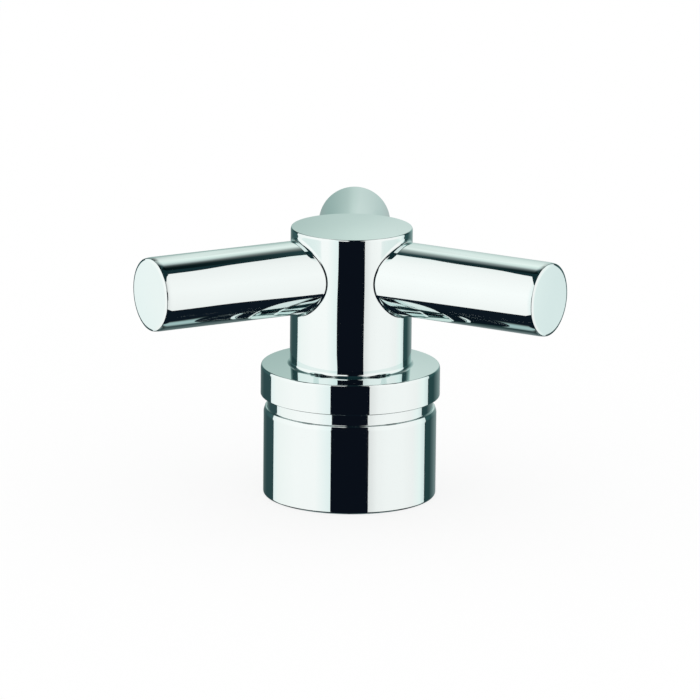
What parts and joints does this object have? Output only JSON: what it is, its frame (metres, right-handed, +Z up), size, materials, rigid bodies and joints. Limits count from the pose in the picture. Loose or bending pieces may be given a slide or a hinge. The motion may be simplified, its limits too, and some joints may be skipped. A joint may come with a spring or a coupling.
{
  "type": "tap handle",
  "caption": "Chromed tap handle with round spokes on a plain hub, a stepped collar and a grooved hollow skirt, which pushes onto a toothed valve spindle.",
  "frame": {"origin": "middle of the rim that the handle stands on, on the spindle axis", "axes": "+Z up along the spindle axis, +Y along the rear spoke, the two other spokes towards the front left and front right"},
  "size_m": [0.0878, 0.0762, 0.0565],
  "materials": {
    "chromed_casting": "polished",
    "moulded_insert": "matte",
    "screw_steel": "satin"
  },
  "bodies": {
    "root": {"handle_body": "chromed_casting", "snap_insert": "moulded_insert", "fixing_screw": "screw_steel"}
  },
  "joints": []
}
